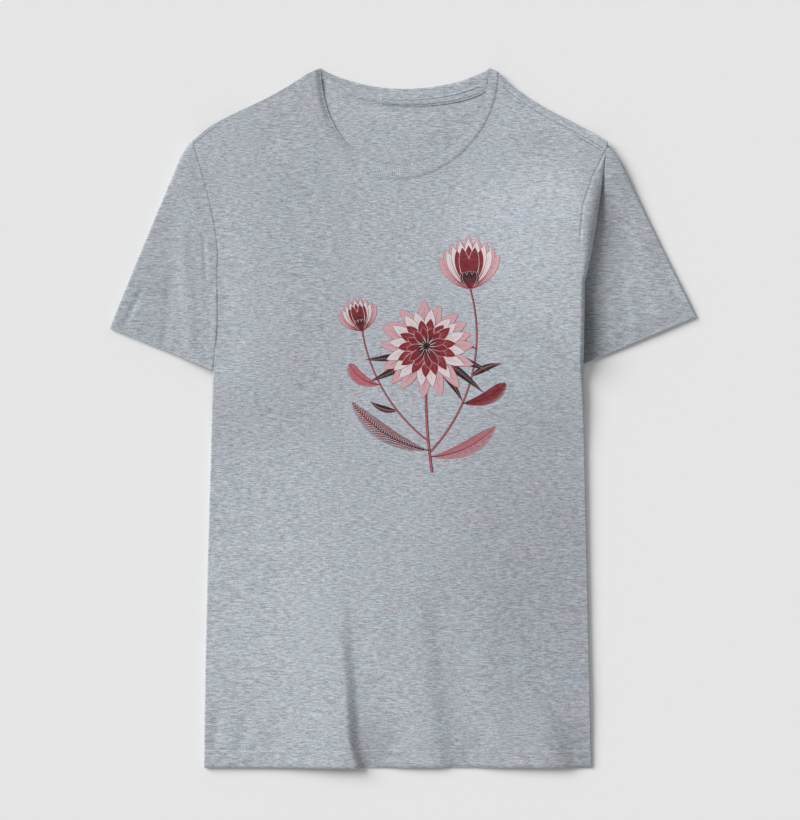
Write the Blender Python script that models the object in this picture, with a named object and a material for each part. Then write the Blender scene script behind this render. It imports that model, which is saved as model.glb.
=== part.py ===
"""A short-sleeved crew-neck T-shirt in jersey, laid flat with its sides turned under.

Metres, +Z up. The shirt lies on Z = 0 with its front up and its neck towards +Y. +X is the
wearer's left. The origin is on the ground under the middle of the shirt's outline.
Each sheet of cloth is a grid of points on its outer face, thickened inwards.
"""

import math

import bpy
from mathutils import Vector

# Outline in plan.
LENGTH = 0.720              # hem to the high point of the shoulder
SPAN = 0.605                # sleeve tip to sleeve tip
CENTRE_X = -0.0035          # the body lies a little to the wearer's right of the middle
HEM_HALF = 0.2005           # half the visible body at the hem
CHEST_HALF = 0.1915         # half the visible body below the armholes
ARMHOLE_HALF = 0.1890       # half the body beside the sleeves, its narrowest
SHOULDER_HALF = 0.2145      # half the distance between the shoulder points
CUT_HALF = 0.250            # half of each panel as cut, before its sides are turned under
ARMHOLE_BEND = {1: 1.1, -1: 2.2}  # how sharply each side curves out towards the shoulder
ARMPIT_Y = 0.045
ARMHOLE_Y = 0.140
SHOULDER_Y = 0.286
SHOULDER_TOP = (0.0926, 0.358)   # where the shoulder line leaves the collar: |X| and Y

# Neck curves, each half an ellipse: half width, depth, Y of its ends, sideways lean.
NECK_X = 0.002
FRONT_SEAM = (0.0965, 0.1112, 0.3555, -0.008)
FRONT_EDGE = (0.0865, 0.0998, 0.3600, -0.008)
BACK_SEAM = (0.0965, 0.0330, 0.3555, 0.0)
BACK_EDGE = (0.0865, 0.0206, 0.3600, 0.0)
TAPE_WIDTH = 0.0085
TAPE_REACH = math.radians(54)    # the neck tape's half length, along the back seam

HEM_DEPTH = 0.017           # turned-up hem of the body
CUFF_DEPTH = 0.017          # turned-up hem of the sleeves

# Heights and thicknesses.
CLOTH = 0.0010
FOLDED = 0.0014             # a turned-up hem
RIB = 0.0018                # the collar
TAPE = 0.0008
GAP = 0.0004                # between neighbouring sheets
STACK = 0.0090              # front, back and the turned-under side together
SHOULDER_STACK = 0.0058     # the same at the shoulder, where nothing is turned under
MIDDLE = 0.0068             # height of the front in the middle of the body
YOKE = 0.0060               # the same between the shoulders
TUCKED = 0.0040             # the body's edge lies on this much of tucked sleeve
SLEEVE_HEIGHT = 0.0054
SHOULDER_EDGE = 0.0043      # top of the front along the shoulder line
TUCK = 0.012                # how far the sleeves reach under the body
UNDERARM_TUCK = 0.042       # the same at the underarm

# Each sleeve: side of the body, slope of the shoulder line, tip of the sleeve's outer fold,
# the angle of that fold from the body's length, where its hem passes under the body's edge.
SLEEVES = {
    "left": (1, math.radians(31.8), (SPAN / 2, 0.1049), math.radians(26.1), (0.1882, 0.0555)),
    "right": (-1, math.radians(29.1), (SPAN / 2, 0.0926), math.radians(22.6), (0.1954, 0.0473)),
}
CORNER = 0.022              # length of the rounded corner between shoulder and sleeve
BOW = 0.003                 # the sleeve's outer fold curves in by this much

# Soft folds that run up from the hem: X at the hem, X and Y of the upper end,
# depth at the hem, width of the flank towards -X and of the flank towards +X.
FOLDS = (
    (-0.046, -0.055, -0.200, 0.0026, 0.014, 0.036),
    (0.048, 0.032, -0.190, 0.0014, 0.018, 0.026),
)


def mix(a, b, share):
    return a + (b - a) * share


def smooth(start, end, value):
    """0 at start and 1 at end, level at both."""
    share = min(1.0, max(0.0, (value - start) / (end - start)))
    return share * share * (3 - 2 * share)


def spread(start, end, count):
    """count + 1 even values from start to end."""
    return [mix(start, end, i / count) for i in range(count + 1)]


# Plan.

TOP = LENGTH / 2
BOTTOM = -LENGTH / 2


def neck_curve(curve, turn):
    """A point of a neck curve, turn running from -90 to +90 degrees through its middle."""
    wide, deep, end_y, lean = curve
    x = NECK_X + wide * math.sin(turn) + lean * math.cos(turn)
    return x, end_y - deep * math.cos(turn)


def neck_turns():
    """Turns along the neck curves, closer together where they bend most."""
    inner = math.radians(66)
    return [-math.pi / 2] + spread(-inner, inner, 18) + [math.pi / 2]


def side_of(x):
    return 1 if x > 0 else -1


def body_half(y, side):
    """Distance from the body's middle line to its visible edge on one side."""
    if y < ARMPIT_Y:
        return mix(HEM_HALF, CHEST_HALF, (y - BOTTOM) / (ARMPIT_Y - BOTTOM))
    if y < ARMHOLE_Y:
        return mix(CHEST_HALF, ARMHOLE_HALF, smooth(ARMPIT_Y, ARMHOLE_Y, y))
    rise = (y - ARMHOLE_Y) / (SHOULDER_Y - ARMHOLE_Y)
    return mix(ARMHOLE_HALF, SHOULDER_HALF, min(1.0, rise) ** ARMHOLE_BEND[side])


def shoulder_y(x):
    """Y of the shoulder line at x."""
    slope = SLEEVES["left" if x > 0 else "right"][1]
    return SHOULDER_TOP[1] - (abs(x) - SHOULDER_TOP[0]) * math.tan(slope)


def turned_under(y):
    """How much of each side is turned under, beyond the rounded edge."""
    return mix(0.004, CUT_HALF - body_half(y, 1), 1 - smooth(-0.06, ARMPIT_Y - 0.012, y))


# Heights.


def base(y):
    """What the body's turned edge lies on: the ground, or the tucked sleeve."""
    return TUCKED * smooth(-0.040, ARMPIT_Y - 0.012, y)


def stack(y):
    return mix(STACK, SHOULDER_STACK, smooth(ARMHOLE_Y, 0.24, y))


def middle(y):
    return mix(MIDDLE, YOKE, smooth(0.02, 0.20, y))


def fold_depth(x, y):
    depth = 0.0
    for hem_x, end_x, end_y, deep, steep, gentle in FOLDS:
        rise = (y - BOTTOM) / (end_y - BOTTOM)
        away = x - mix(hem_x, end_x, rise)
        reach = steep if away < 0 else gentle
        depth += deep * (1 - smooth(0, 1, rise)) * (1 - smooth(0, reach, abs(away)))
    return depth


def at_shoulder_line(x, y, reach):
    """1 on the shoulder line, where front and back meet, and 0 from 8 mm below it. It fades
    out at the collar, and at reach from the shoulder point, where the sleeve lies under
    the body."""
    below = min(1.0, max(0.0, (shoulder_y(x) - y) / 0.008))
    edge = body_half(y, side_of(x - CENTRE_X))
    fades = smooth(0.099, 0.116, abs(x))
    fades *= 1 - smooth(edge - reach - 0.035, edge - reach, abs(x - CENTRE_X))
    return (1 - below) ** 2 * fades


def front_height(x, y):
    """Height of the front's outer face between the two rounded edges."""
    edge = body_half(y, side_of(x - CENTRE_X))
    side = smooth(edge - 0.150, edge - 0.060, abs(x - CENTRE_X))
    height = mix(middle(y), base(y) + stack(y), side) - fold_depth(x, y)
    return mix(height, SHOULDER_EDGE, at_shoulder_line(x, y, 0.010))


def front_section(y, away):
    """The front's outer face beyond its flat part: away is measured along the cloth.
    It rounds the edge and goes under. Returns the distance past the flat part and Z."""
    radius = stack(y) / 2
    turn = away / radius
    if turn <= math.pi:
        return radius * math.sin(turn), base(y) + radius * (1 + math.cos(turn))
    return math.pi * radius - away, base(y)


def back_levels(y):
    """Outer faces of the back: of its turned-under part, and of its upper part."""
    full = (stack(y) - SHOULDER_STACK) / (STACK - SHOULDER_STACK)
    lower = base(y) + mix(0.0024, 0.0036, full)
    return lower, lower + mix(GAP, 0.0014, full)


# Making the sheets.


def material(name, color, roughness):
    made = bpy.data.materials.new(name)
    made.use_nodes = True
    shader = made.node_tree.nodes["Principled BSDF"]
    shader.inputs["Base Color"].default_value = (*color, 1)
    shader.inputs["Roughness"].default_value = roughness
    shader.inputs["Metallic"].default_value = 0.0
    return made


def add_sheet(name, rows, thickness, surface, flip=False, ring=False):
    """A grid of points on the cloth's outer face, thickened on its other side."""
    wide = len(rows[0])
    points = [p for row in rows for p in row]
    faces = []
    for i in range(len(rows) - 1):
        for j in range(wide if ring else wide - 1):
            k = (j + 1) % wide
            face = (i * wide + j, i * wide + k, (i + 1) * wide + k, (i + 1) * wide + j)
            faces.append(face[::-1] if flip else face)
    mesh = bpy.data.meshes.new(name)
    mesh.from_pydata(points, [], faces)
    mesh.materials.append(surface)
    mesh.shade_smooth()
    made = bpy.data.objects.new(name, mesh)
    bpy.context.scene.collection.objects.link(made)
    solid = made.modifiers.new("thickness", "SOLIDIFY")
    solid.thickness = thickness
    solid.offset = -1
    return made


def panel_columns(seam, inset):
    """Columns of a panel from the neck to the edge of its flat part, on both sides.
    Each is the X at the hem as a share of the flat part, and the top end's X and Y."""
    neck_share = 0.42
    columns = []
    wide, deep, end_y, lean = seam
    outside = (wide + inset, deep + inset, end_y, lean)
    for turn in neck_turns():
        x, y = neck_curve(outside, turn)
        columns.append((neck_share * math.sin(turn), x, y))
    for share in spread(0, 1, 6)[1:]:
        for sign in (1, -1):
            start = neck_curve(outside, sign * math.pi / 2)[0]
            edge = CENTRE_X + sign * (SHOULDER_HALF - SHOULDER_STACK / 2)
            x = mix(start, edge, share)
            column = (sign * mix(neck_share, 1, share), x, shoulder_y(x))
            columns = columns + [column] if sign > 0 else [column] + columns
    return columns


def hem_rows():
    """Rows of a hem, each a height above the body's lower edge and a rise from there."""
    return [(above, 0.0) for above in spread(0, HEM_DEPTH, 2)]


def panel_rows():
    """Rows of a panel above its hem, to a rise of 1 at its upper edge: closer together
    where its edges climb on to the sleeves, and along the shoulders."""
    rises = spread(0, 0.40, 5)[:-1] + spread(0.40, 0.60, 7) + spread(0.60, 0.90, 5)[1:]
    rises += [0.94, 0.97, 0.986, 0.991, 0.996, 1.0]
    return [(HEM_DEPTH + GAP, rise) for rise in rises]


def front_rows(levels):
    rows = []
    for above, rise in levels:
        side_y = mix(BOTTOM + above, SHOULDER_Y, rise)
        flat = {side: body_half(side_y, side) - stack(side_y) / 2 for side in (1, -1)}
        row = []
        for share, top_x, top_y in panel_columns(FRONT_SEAM, GAP):
            edge = CENTRE_X + share * flat[side_of(share)]
            x = edge if abs(share) == 1 else mix(edge, top_x, rise ** 2)
            y = mix(BOTTOM + above, top_y, rise)
            row.append(Vector((x, y, front_height(x, y))))
        length = math.pi * stack(side_y) / 2 + turned_under(side_y)
        arc = math.pi * stack(side_y) / 2 / length
        for share in spread(0, arc, 8)[1:] + spread(arc, 1, 3)[1:]:
            past, z = front_section(side_y, share * length)
            row.append(Vector((CENTRE_X + flat[1] + past, side_y, z)))
            row.insert(0, Vector((CENTRE_X - flat[-1] - past, side_y, z)))
        rows.append(row)
    return rows


def back_height(x, y):
    """Height of the back's outer face: on the ground in the middle, then up over the sides."""
    edge = body_half(y, side_of(x - CENTRE_X))
    inner = edge - turned_under(y) - 0.030
    side = smooth(inner - 0.045, inner, abs(x - CENTRE_X))
    height = mix(0.0, back_levels(y)[1], side)
    meets = SHOULDER_EDGE - 2 * CLOTH - 3 * GAP
    return mix(height, meets, at_shoulder_line(x, y, 0.006))


def back_rows(levels):
    rows = []
    for above, rise in levels:
        side_y = mix(BOTTOM + above, SHOULDER_Y, rise)
        inset = stack(side_y) / 2 + 0.0006
        flat = {side: body_half(side_y, side) - inset for side in (1, -1)}
        under, upper = back_levels(side_y)
        middle_z, bend = (under + upper) / 2, (upper - under) / 2
        row = []
        for share, top_x, top_y in panel_columns(BACK_SEAM, GAP):
            edge = CENTRE_X + share * flat[side_of(share)]
            x = edge if abs(share) == 1 else mix(edge, top_x, rise ** 2)
            y = mix(BOTTOM + above, top_y, rise)
            row.append(Vector((x, y, back_height(x, y))))
        bent = [(bend * math.sin(t), middle_z + bend * math.cos(t))
                for t in spread(0, math.pi, 4)[1:]]
        bent += [(-turned_under(side_y) * share, under) for share in (0.5, 1.0)]
        for past, z in bent:
            row.append(Vector((CENTRE_X + flat[1] + past, side_y, z)))
            row.insert(0, Vector((CENTRE_X - flat[-1] - past, side_y, z)))
        rows.append(row)
    return rows


def sleeve_fold(side):
    """Points of the sleeve's outer fold in plan, from under the shoulder to the tip."""
    sign, slope, tip, lean, _ = SLEEVES[side]
    tip = Vector((sign * tip[0], tip[1]))
    along = Vector((-sign * math.sin(lean), math.cos(lean)))
    inwards = Vector((-sign * math.cos(slope), math.sin(slope)))
    high = Vector((sign * SHOULDER_TOP[0], SHOULDER_TOP[1]))
    gap = high - tip
    across = along.x * inwards.y - along.y * inwards.x
    corner = tip + along * ((gap.x * inwards.y - gap.y * inwards.x) / across)
    first, last = corner + inwards * CORNER, corner - along * CORNER
    start = Vector((CENTRE_X + sign * (SHOULDER_HALF - TUCK), SHOULDER_Y - 0.004))
    points = [start]
    for t in spread(0, 1, 5):
        p = (1 - t) ** 2 * first + 2 * t * (1 - t) * corner + t * t * last
        if sign * (p.x - start.x) > 0.010:
            points.append(p)
    inward = Vector((-sign * math.cos(lean), -math.sin(lean)))
    for t in spread(0, 1, 10)[1:]:
        points.append(last.lerp(tip, t) + inward * BOW * math.sin(math.pi * t))
    return points


def along_path(points, share):
    lengths = [(b - a).length for a, b in zip(points, points[1:])]
    left = share * sum(lengths)
    for a, b, length in zip(points, points[1:], lengths):
        if left <= length:
            return a.lerp(b, left / length)
        left -= length
    return points[-1].copy()


class SleevePlan:
    """Points of a sleeve in plan, from under the body (v = 0) to its hem (v = 1), and from
    the underarm (u = 0) to the outer fold (u = 1)."""

    def __init__(self, side):
        self.sign, _, tip, _, hem_in = SLEEVES[side]
        self.fold = sleeve_fold(side)
        self.tip = self.fold[-1]
        edge = Vector((self.sign * hem_in[0], hem_in[1]))
        self.inner = edge + (edge - self.tip).normalized() * TUCK
        self.start_y = self.fold[0].y
        self.underarm_y = self.inner.y + 0.016

    def armhole(self, u):
        y = mix(self.underarm_y, self.start_y, u)
        tuck = mix(UNDERARM_TUCK, TUCK, min(1.0, u / 0.6))
        return Vector((CENTRE_X + self.sign * (body_half(y, self.sign) - tuck), y))

    def cuff(self, u):
        return self.inner.lerp(self.tip, u)

    def point(self, u, v):
        straight = self.armhole(u).lerp(self.cuff(u), v)
        outer = along_path(self.fold, v) - self.armhole(1).lerp(self.cuff(1), v)
        return straight + outer * u ** 3

    def length(self, u):
        return (self.cuff(u) - self.armhole(u)).length

    def height(self, p):
        """Height of the sleeve: low under the body's edge, then fuller."""
        outside = abs(p.x - CENTRE_X) - body_half(p.y, self.sign)
        low = TUCKED - GAP
        return mix(low, SLEEVE_HEIGHT, smooth(0.004, 0.020, outside))


def sleeve_rings(side, starts, stops, count):
    """Rings round the sleeve. starts and stops are distances from the hem at u, or None
    for the armhole."""
    plan = SleevePlan(side)
    rings = []
    for step in spread(0, 1, count):
        def at(u):
            length = plan.length(u)
            first = length if starts is None else starts
            return plan.point(u, 1 - mix(first, stops, step) / length)
        width = (at(1) - at(0)).length
        ends = [plan.height(at(0)) / 2 / width, plan.height(at(1)) / 2 / width]
        ring = []
        flats = spread(ends[0], 1 - ends[1], 9)
        arcs = spread(math.pi / 2, -math.pi / 2, 6)[1:-1]
        marks = [(u, 1.0) for u in flats]
        marks += [(1 - ends[1] * (1 - math.cos(a)), math.sin(a)) for a in arcs]
        marks += [(u, -1.0) for u in reversed(flats)]
        marks += [(ends[0] * (1 - math.cos(a)), math.sin(a)) for a in reversed(arcs)]
        for u, lift in marks:
            p = at(u)
            half = plan.height(p) / 2
            ring.append(Vector((p.x, p.y, half * (1 + lift))))
        rings.append(ring)
    return rings


def collar_rows(seam, edge, height):
    """A neck band from its seam to its free edge. height gives Z at a turn and a share."""
    rows = []
    for share in spread(0, 1, 3):
        row = []
        for turn in neck_turns():
            a, b = neck_curve(seam, turn), neck_curve(edge, turn)
            x, y = mix(a[0], b[0], share), mix(a[1], b[1], share)
            row.append(Vector((x, y, height(turn, share, x, y))))
        rows.append(row)
    return rows


def front_collar_height(turn, share, x, y):
    crown = 0.0006 * math.sin(math.pi * share)
    level = YOKE + 0.0002 + crown - 0.0006 * share
    return mix(level, 0.0047, smooth(math.radians(68), math.radians(88), abs(turn)))


def back_collar_height(turn, share, x, y):
    return mix(0.0020, 0.0024, smooth(math.radians(40), math.radians(88), abs(turn)))


def tape_rows():
    rows = []
    for share in spread(0, 1, 2):
        row = []
        for turn in spread(-TAPE_REACH, TAPE_REACH, 20):
            x, y = neck_curve(BACK_SEAM, turn)
            z = back_collar_height(turn, 0, x, y) + 0.0003 + TAPE
            row.append(Vector((x, y - 0.0020 + TAPE_WIDTH * share, z)))
        rows.append(row)
    return rows


def build():
    for old in list(bpy.data.objects):
        bpy.data.objects.remove(old)
    grey = (0.392, 0.418, 0.451)
    body = material("body_jersey", grey, 0.92)
    sleeve = material("sleeve_jersey", grey, 0.92)
    rib = material("collar_rib", grey, 0.90)
    tape = material("tape_jersey", grey, 0.90)
    hem = material("hem_jersey", grey, 0.92)

    add_sheet("front_panel", front_rows(panel_rows()), CLOTH, body)
    add_sheet("front_hem", front_rows(hem_rows()), FOLDED, hem)
    add_sheet("back_panel", back_rows(panel_rows()), CLOTH, body, flip=True)
    add_sheet("back_hem", back_rows(hem_rows()), FOLDED, hem, flip=True)
    for side in SLEEVES:
        flip = side == "left"
        tube = sleeve_rings(side, None, CUFF_DEPTH + 2 * GAP, 9)
        add_sheet("sleeve_" + side, tube, CLOTH, sleeve, flip, ring=True)
        cuff = sleeve_rings(side, CUFF_DEPTH, 0.0, 2)
        add_sheet("sleeve_hem_" + side, cuff, FOLDED, hem, flip, ring=True)
    front = collar_rows(FRONT_SEAM, FRONT_EDGE, front_collar_height)
    add_sheet("collar_front", front, RIB, rib)
    back = collar_rows(BACK_SEAM, BACK_EDGE, back_collar_height)
    add_sheet("collar_back", back, RIB, rib)
    add_sheet("neck_tape", tape_rows(), TAPE, tape)


build()
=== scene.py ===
"""Finish of a heather-grey T-shirt that lies flat: jersey sheets with their folds, a ribbed
collar, turned and stitched hems, and a plant design printed on the chest.

Everything is in metres in the frame's own axes: the shirt lies on Z = 0 with its front up,
its neck towards +Y and the wearer's left sleeve towards +X."""

import random
from math import asin, atan2, cos, exp, hypot, pi, radians, sin, tan

import bpy
from bpy.props import FloatProperty, FloatVectorProperty, PointerProperty
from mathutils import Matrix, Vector, noise


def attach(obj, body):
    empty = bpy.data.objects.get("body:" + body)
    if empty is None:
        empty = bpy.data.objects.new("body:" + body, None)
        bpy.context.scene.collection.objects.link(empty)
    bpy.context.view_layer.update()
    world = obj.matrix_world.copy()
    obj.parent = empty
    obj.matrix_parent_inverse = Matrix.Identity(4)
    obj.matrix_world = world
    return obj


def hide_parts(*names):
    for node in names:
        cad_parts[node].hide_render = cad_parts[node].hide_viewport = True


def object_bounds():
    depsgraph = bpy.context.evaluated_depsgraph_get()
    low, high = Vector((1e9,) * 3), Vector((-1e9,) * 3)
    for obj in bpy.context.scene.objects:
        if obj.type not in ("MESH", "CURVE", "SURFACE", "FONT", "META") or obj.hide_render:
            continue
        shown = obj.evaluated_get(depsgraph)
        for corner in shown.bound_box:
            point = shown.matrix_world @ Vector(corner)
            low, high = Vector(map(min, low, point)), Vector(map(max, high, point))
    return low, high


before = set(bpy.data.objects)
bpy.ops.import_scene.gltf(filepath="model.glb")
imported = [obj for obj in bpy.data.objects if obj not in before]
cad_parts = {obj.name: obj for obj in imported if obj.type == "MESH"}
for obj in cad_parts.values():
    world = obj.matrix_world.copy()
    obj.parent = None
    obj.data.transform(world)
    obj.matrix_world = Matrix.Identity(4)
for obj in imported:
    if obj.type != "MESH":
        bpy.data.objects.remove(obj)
CAD_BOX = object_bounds()

bl_info = {
    "name": "T-shirt laid flat",
    "version": (1, 0, 0),
    "blender": (4, 5, 0),
    "location": "3D View > Sidebar > T-shirt",
    "description": "Cloth, stitching and print of a T-shirt that lies flat",
    "category": "Object",
}

# Outline in plan: the half widths of the body and of the cloth as cut, the heights in Y where
# they change, and the slope's corrections. Where a value differs from side to side, the key 1
# is the wearer's left, towards +X, and -1 the wearer's right.
BOTTOM = CAD_BOX[0].y
SPAN = CAD_BOX[1].x - CAD_BOX[0].x
CENTRE_X = -0.0035
HEM_HALF = {1: 0.1978, -1: 0.2016}
CHEST_HALF = {1: 0.1888, -1: 0.1915}
ARMHOLE_HALF = {1: 0.1898, -1: 0.1876}
SHOULDER_HALF = 0.2145
CUT_HALF = 0.25
ARMPIT_Y = 0.045
STRAIGHT_Y = {1: 0.14, -1: 0.1}
ARMHOLE_Y = {1: 0.14, -1: 0.165}
ARMHOLE_BEND = {1: 0.8, -1: 1.55}
SHOULDER_Y = 0.286
SHOULDER_TOP = (0.0926, 0.358)
SHOULDER_SAG = {1: 0.0048, -1: 0.0022}
SHOULDER_WAVE = 0.0015
SHOULDER_DROP = {1: 0.003, -1: 0.006}

# Neck curves: half width, depth, Y of the ends, lean of the lowest point, and roundness
# (1 for an ellipse, 2 for a shallow bow). The tape reaches the same turn on both sides.
NECK_X = 0.002
FRONT_SEAM = (0.0965, 0.1112, 0.3555, -0.008, 1)
FRONT_EDGE = (0.0865, 0.0998, 0.36, -0.008, 1)
BACK_SEAM = (0.0965, 0.033, 0.3555, 0.0, 1.8)
BACK_EDGE = (0.0865, 0.0206, 0.36, 0.0, 1.8)
TAPE_REACH = radians(62)

# Sleeves: side, slope of the shoulder, tip, lean of the outer fold, and inner end of the hem.
# Then the rounding of the outer fold's corner and the fold's bow, by side, and how far the
# sleeve passes under the body at the shoulder and at the underarm.
SLEEVES = {
    "left": (1, radians(31.8), (SPAN / 2, 0.1049), radians(26.1), (0.1882, 0.0568)),
    "right": (-1, radians(29.1), (SPAN / 2, 0.0926), radians(22.6), (0.1954, 0.0492)),
}
CORNER = {1: 0.027, -1: 0.024}
BOW = {1: 0.0008, -1: -0.0005}
TUCK, UNDERARM_TUCK = 0.012, 0.042
# Heights: the open sleeve, its tucked part, its lowest part beside the body, and the step
# from the body's edge down to the left sleeve.
SLEEVE_HEIGHT, TUCKED_HEIGHT, LOWEST_BESIDE = 0.005, 0.0032, 0.0042
SLEEVE_STEP = 0.0172
# Rows of points: in the tucked part, where the sleeve comes out, and beyond.
SLEEVE_ROWS = (4, 22, 60)

# Heights of the front's outer face: in the middle, at the turned edges (by the hem and by
# the chest), its lift beside the left sleeve, its crest beside the main fold, its lowest
# point, and where it folds down along the left shoulder.
MIDDLE = 0.0062
EDGE = (0.0054, 0.0062)
SIDE_LIFT = 0.012
CREST = 0.0056
FRONT_LOWEST = 0.0023
SHOULDER_FOLD = 0.004
# What the tucked sleeve adds, the distance from the front's outer face to the back's lower
# one, and the height of the back inside the neck.
TUCKED_SLEEVE = 0.004
LAYERS = 0.0024
INSIDE = 0.0018

# Thickness of the sheets, rise of the ribs, the hem's rounding (as a share of the panel) and
# width, the share of the panel's width that ends at the neck, and the gap along a seam.
JERSEY, FRONT_RIB, BACK_RIB, TAPE = 0.001, 0.0012, 0.0016, 0.0007
RIB_RISE = 0.00009
HEM_ROUND, HEM_WIDTH = 0.0056, 0.0186
NECK_SHARE = 0.42
GAP = 0.0004

# Rectangles that the sheets are cut from.
FRONT_BAND_CUT, BACK_BAND_CUT, TAPE_CUT = (0.34, 0.012), (0.22, 0.0125), (0.165, 0.01)

# Folds that run up from the hem: points (X, Y) of the valley, its depth at the hem, the width
# of its steep side towards -X and of its gentle side, and the power with which it fades.
HEM_FOLDS = (
    (((-0.0362, -0.36), (-0.0447, -0.331), (-0.0463, -0.29), (-0.05, -0.24),
      (-0.052, -0.16)), 0.0036, 0.013, 0.04, 1.2),
    (((-0.012, -0.36), (-0.02, -0.28), (-0.03, -0.22)), 0.001, 0.03, 0.04, 1.0),
    (((0.056, -0.36), (0.0535, -0.331), (0.0483, -0.29), (0.0411, -0.239),
      (0.035, -0.165)), 0.0036, 0.024, 0.05, 0.5),
    (((0.182, -0.36), (0.1728, -0.331), (0.154, -0.29), (0.139, -0.255)),
     0.003, 0.02, 0.05, 0.6),
)

# Points (X, Y) of the armhole seam that shows on the wearer's left.
ARMHOLE_SEAM = ((0.1806, 0.15), (0.1812, 0.188), (0.1843, 0.217), (0.1944, 0.247),
                (0.2066, 0.2715), (0.212, 0.282))

# Short dents, or rises where the depth is negative: ends (X, Y), depth and half width.
FRONT_DENTS = (
    ((-0.05, -0.337), (-0.0395, -0.362), 0.001, 0.003),
    ((0.063, -0.343), (0.071, -0.358), 0.0009, 0.006),
    ((0.098, -0.344), (0.108, -0.359), 0.001, 0.006),
    ((0.127, -0.346), (0.136, -0.359), 0.0009, 0.006),
    ((-0.196, -0.345), (-0.19, -0.3), 0.0008, 0.009),
    ((-0.168, -0.345), (-0.162, -0.305), 0.0007, 0.009),
    ((-0.137, -0.345), (-0.13, -0.312), 0.0005, 0.009),
)

SLEEVE_DENTS = {
    "right": (
        ((-0.205, 0.188), (-0.2028, 0.142), 0.0009, 0.003),
        ((-0.1925, 0.132), (-0.1935, 0.076), -0.0008, 0.007),
        ((-0.227, 0.2), (-0.218, 0.068), -0.0011, 0.011),
        ((-0.239, 0.15), (-0.245, 0.075), 0.0008, 0.009),
        ((-0.269, 0.132), (-0.286, 0.096), 0.0012, 0.005),
    ),
    "left": (
        ((0.236, 0.21), (0.265, 0.11), -0.0008, 0.016),
        ((0.262, 0.18), (0.287, 0.11), 0.0008, 0.01),
        ((0.225, 0.16), (0.228, 0.075), 0.0005, 0.01),
    ),
}

# Rows of stitches along the shoulders: X of both ends, and the distance below the edge.
SHOULDER_STITCHES = ((0.103, 0.2045, 0.0098), (0.18, 0.2035, 0.0136), (-0.193, -0.215, 0.0038))

# Patches of painted light and shade on the front: the cloth is made paler where more light falls,
# towards the upper left, and darker where shade falls, towards the lower right, beside the folds
# at the hem and beside the left sleeve. Centre (X, Y), reach, and shade.
PAINTED_LIGHT_AND_SHADE_FRONT = (
    ((-0.135, -0.19), (0.12, 0.2), 1.09),
    ((0.15, -0.17), (0.15, 0.29), 0.83),
    ((0.09, 0.19), (0.12, 0.1), 1.05),
    ((-0.028, -0.338), (0.032, 0.05), 0.84),
    ((0.066, -0.35), (0.03, 0.05), 0.9),
    ((0.178, -0.345), (0.04, 0.06), 0.86),
    ((0.194, 0.225), (0.02, 0.06), 0.84),
)
# Painted shadow: a dark patch on the left sleeve beside the body's raised edge. Centre (X, Y),
# reach, and shade.
PAINTED_SHADOW_SLEEVES = (((0.19, 0.085), (0.021, 0.08), 0.62),)

# Inks: the colour, and how much of the cloth shows through.
INKS = {
    "pale_pink": ((0.62, 0.33, 0.36), 0.34),
    "rose": ((0.46, 0.1, 0.13), 0.18),
    "white": ((0.72, 0.64, 0.65), 0.34),
    "crimson": ((0.2, 0.004, 0.012), 0.07),
    "black": ((0.007, 0.006, 0.008), 0.04),
}
CLOTH_UNDER_INK = (0.4, 0.42, 0.45)
INK = 0.00012

# Stage: the direction to the lamp and the angle that it spans, the camera, and the floor.
LAMP_PLACE, LAMP_WIDTH = Vector((-0.7, 0.49, 0.51)), radians(36)
CAMERA_PLACE, CAMERA_LENS = (-0.0031, 0.0082, 1.9976), 85
FLOOR_HALF = 4.0


# Small sums.


def mix(a, b, share):
    return a + (b - a) * share


def clamp(value):
    return min(1.0, max(0.0, value))


def smooth(start, end, value):
    """0 at start and 1 at end, level at both."""
    share = clamp((value - start) / (end - start))
    return share * share * (3 - 2 * share)


def between(start, full, fades, end, value):
    """0 up to start, 1 from full to fades, and 0 again from end."""
    return smooth(start, full, value) * (1 - smooth(fades, end, value))


def spread(start, end, count):
    """count + 1 even values from start to end."""
    return [mix(start, end, i / count) for i in range(count + 1)]


def side_of(x):
    return 1 if x > 0 else -1


def neck_curve(curve, turn):
    """A point of a neck curve; turn runs from -90 to +90 degrees."""
    wide, deep, end_y, lean, bend = curve
    level = max(0.0, cos(turn))
    return NECK_X + wide * sin(turn) + lean * level ** 2, end_y - deep * level ** bend


def body_half(y, side):
    if y < ARMPIT_Y:
        up = (y - BOTTOM) / (ARMPIT_Y - BOTTOM)
        return mix(HEM_HALF[side], CHEST_HALF[side], up if side > 0 else up ** 1.4)
    start = ARMHOLE_Y[side]
    if y < start:
        return mix(CHEST_HALF[side], ARMHOLE_HALF[side], smooth(ARMPIT_Y, STRAIGHT_Y[side], y))
    rise = (y - start) / (SHOULDER_Y - start)
    return mix(ARMHOLE_HALF[side], SHOULDER_HALF, min(1.0, rise) ** ARMHOLE_BEND[side])


def shoulder_y(x):
    slope = SLEEVES["left" if x > 0 else "right"][1]
    out = (abs(x) - SHOULDER_TOP[0]) / (SHOULDER_HALF - SHOULDER_TOP[0])
    turn = pi * clamp(out)
    sag = SHOULDER_SAG[side_of(x)] * sin(turn) + SHOULDER_WAVE * sin(2 * turn)
    sag += SHOULDER_DROP[side_of(x)] * smooth(0.83, 1.08, out)
    return SHOULDER_TOP[1] - (abs(x) - SHOULDER_TOP[0]) * tan(slope) - sag


def turned_under(y):
    return mix(0.004, CUT_HALF - body_half(y, 1), 1 - smooth(-0.06, ARMPIT_Y - 0.012, y))


def relief(x, y, size, seed):
    """Soft unevenness between about -1 and 1, with features of the given size."""
    return noise.noise(Vector((x / size, y / size, seed)))


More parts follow.
